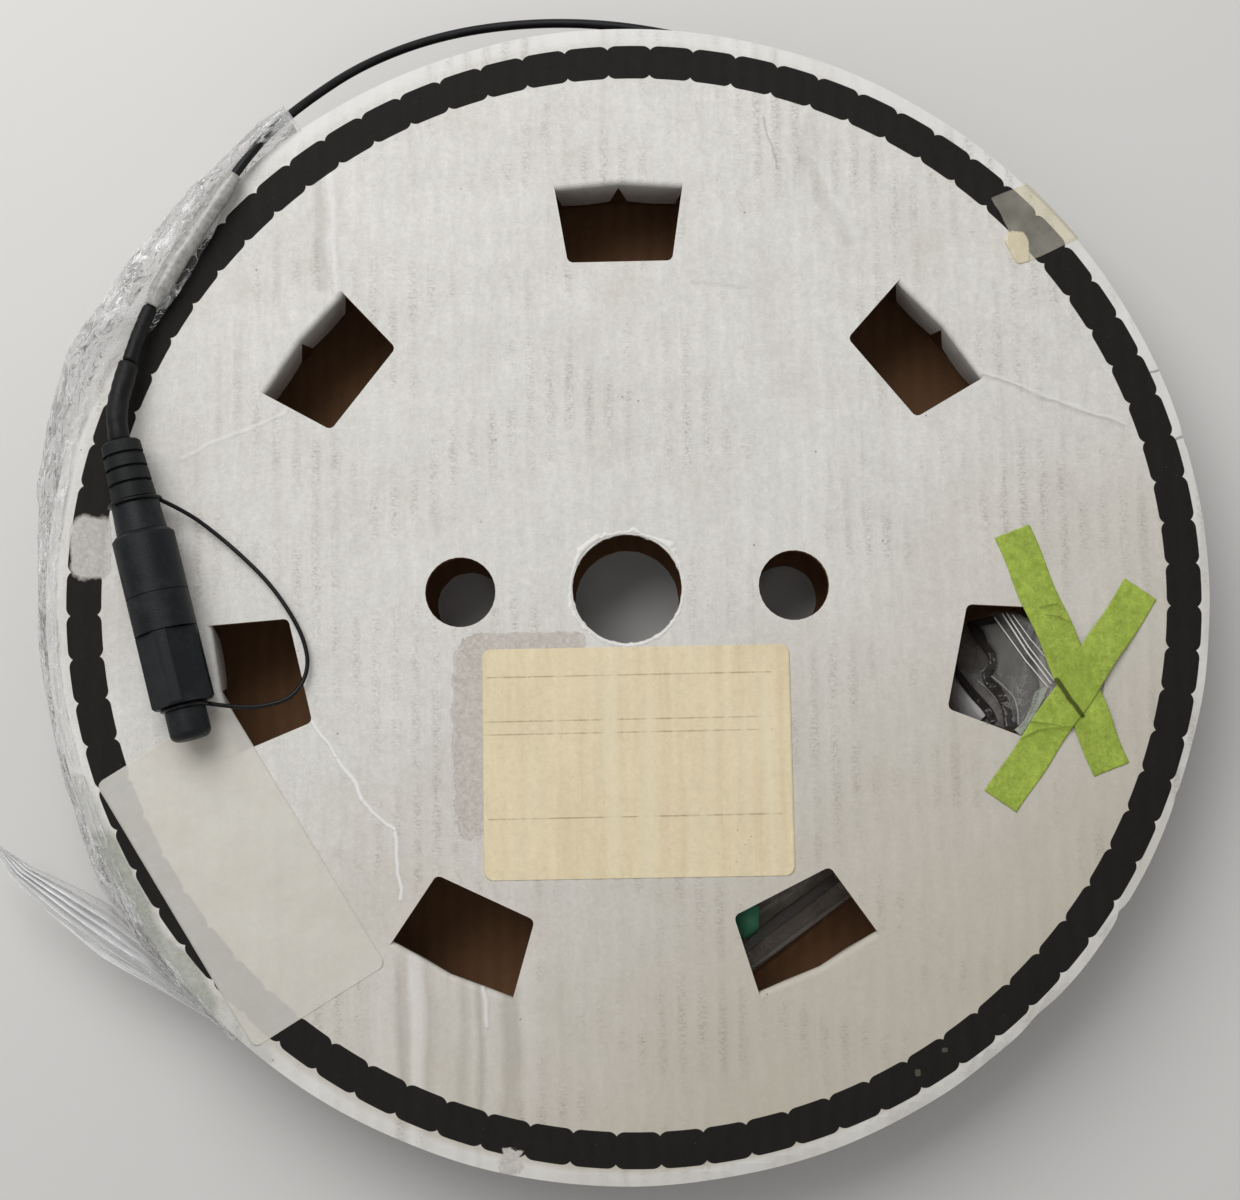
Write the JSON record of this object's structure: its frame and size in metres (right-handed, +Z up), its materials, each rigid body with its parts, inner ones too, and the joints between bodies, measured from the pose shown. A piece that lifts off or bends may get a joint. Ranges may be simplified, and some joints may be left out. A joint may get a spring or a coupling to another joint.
{
  "type": "cardboard cable reel",
  "caption": "Round corrugated cardboard reel lying flat, wound with thin black cable; the cable's end, with a capped plug on a tether, lies on the top flange.",
  "frame": {"origin": "centre of the spindle hole on the bottom flange's outer face, at floor level", "axes": "+Z up along the spindle; +X along the line of the drive holes; +Y to the far side of the picture"},
  "size_m": [0.4035, 0.3953, 0.0644],
  "materials": {
    "board": "white liner outside, brown inside, worn",
    "core": "brown kraft",
    "cable": "satin black jacket",
    "sleeve_white": "pale translucent sleeve",
    "sleeve_black": "black sleeving",
    "boot": "matt black",
    "plug": "fine matt black",
    "tether": "satin black",
    "label": "aged cream paper",
    "clear_label": "clear film, satin",
    "green_tape": "crepe paper tape",
    "aged_tape": "aged clear tape",
    "film": "clear stretch film, creased",
    "bag": "clear bag"
  },
  "bodies": {
    "reel": {"top_flange": "board", "bottom_flange": "board", "core_ring": "core", "cable_winding": "cable", "cable_tail": "cable", "label_sleeve": "sleeve_white", "thin_sleeve": "sleeve_black", "thick_sleeve": "sleeve_black", "connector_boot": "boot", "connector_body": "plug", "cap_tether": "tether", "paper_label": "label", "clear_label": "clear_label", "tape_strip_under": "green_tape", "tape_strip_over": "green_tape", "rim_tape": "aged_tape", "stretch_film": "film", "parts_bag": "bag"},
    "coupling": {"coupling_nut": "plug"},
    "cap": {"dust_cap": "plug"}
  },
  "joints": [
    {"name": "coupling_turn", "type": "hinge", "parent": "reel", "child": "coupling", "pos_m": [-0.15199, 0.00426, 0.0544], "axis": [0.2385, -0.9711, 0], "continuous": true},
    {"name": "cap_turn", "type": "hinge", "parent": "coupling", "child": "cap", "pos_m": [-0.14531, -0.02294, 0.0544], "axis": [0.2385, -0.9711, 0], "continuous": true}
  ]
}
